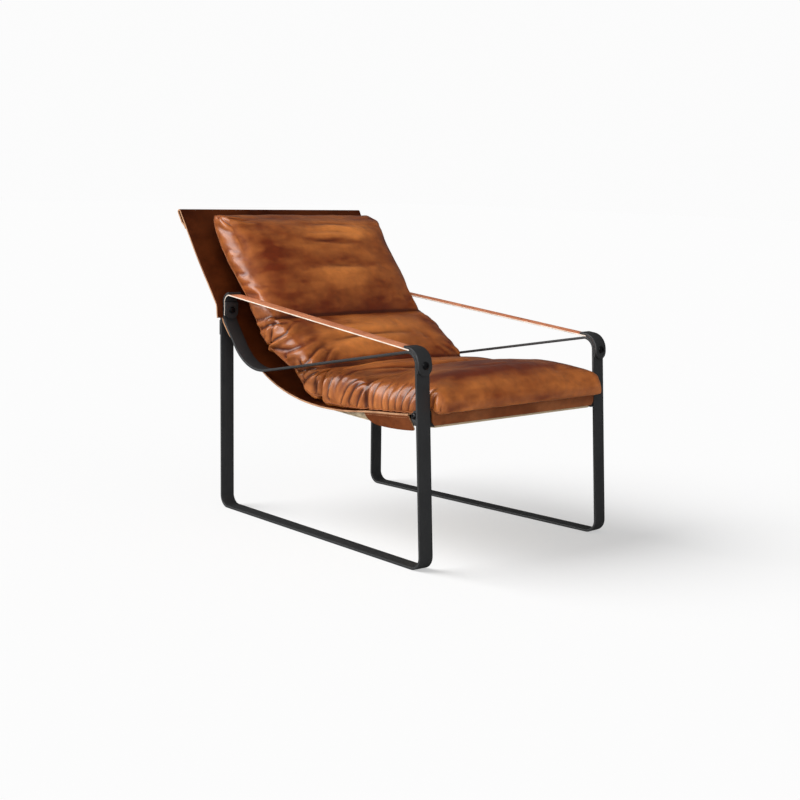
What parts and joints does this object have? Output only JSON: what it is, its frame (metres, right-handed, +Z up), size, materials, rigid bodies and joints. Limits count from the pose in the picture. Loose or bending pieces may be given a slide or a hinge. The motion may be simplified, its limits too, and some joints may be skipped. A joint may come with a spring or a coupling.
{
  "type": "sling lounge chair",
  "caption": "Low lounge chair with bent flat-bar side frames, a hung leather sling, leather arm straps and a loose leather cushion sewn in sections.",
  "frame": {"origin": "on the floor, under the middle of the whole chair's bounding box", "axes": "+Z up, -Y is the way the chair faces, +X is the sitter's left"},
  "size_m": [0.6398, 0.988, 0.7653],
  "materials": {
    "black_steel": "fine black powder coat",
    "black_screws": "blackened, satin",
    "saddle_leather": "thick brown saddle leather with pale raw edges",
    "cushion_leather": "soft waxed brown leather, glossy on its folds",
    "pale_lining": "pale woven webbing"
  },
  "bodies": {
    "root": {"side_frame_left": "black_steel", "side_frame_right": "black_steel", "front_clamp_left": "black_steel", "front_clamp_right": "black_steel", "rear_clamp_left": "black_steel", "rear_clamp_right": "black_steel", "arm_strap_left": "saddle_leather", "arm_strap_right": "saddle_leather", "rail_bracket_left": "black_steel", "rail_bracket_right": "black_steel", "front_bolt_left": "black_screws", "front_bolt_right": "black_screws", "rear_bolt_left": "black_screws", "rear_bolt_right": "black_screws", "front_nut_left": "black_screws", "front_nut_right": "black_screws", "rear_nut_left": "black_screws", "rear_nut_right": "black_screws", "bracket_bolt_left": "black_screws", "bracket_bolt_right": "black_screws", "bracket_nut_left": "black_screws", "bracket_nut_right": "black_screws", "top_screw_left": "black_screws", "top_screw_right": "black_screws", "rear_crossbar": "black_steel", "front_rail": "black_steel", "top_rail": "black_steel", "sling": "saddle_leather", "sling_underlay": "pale_lining", "cushion_head": "cushion_leather", "cushion_back": "cushion_leather", "cushion_lumbar": "cushion_leather", "cushion_seat": "cushion_leather", "cushion_front": "cushion_leather"}
  },
  "joints": []
}
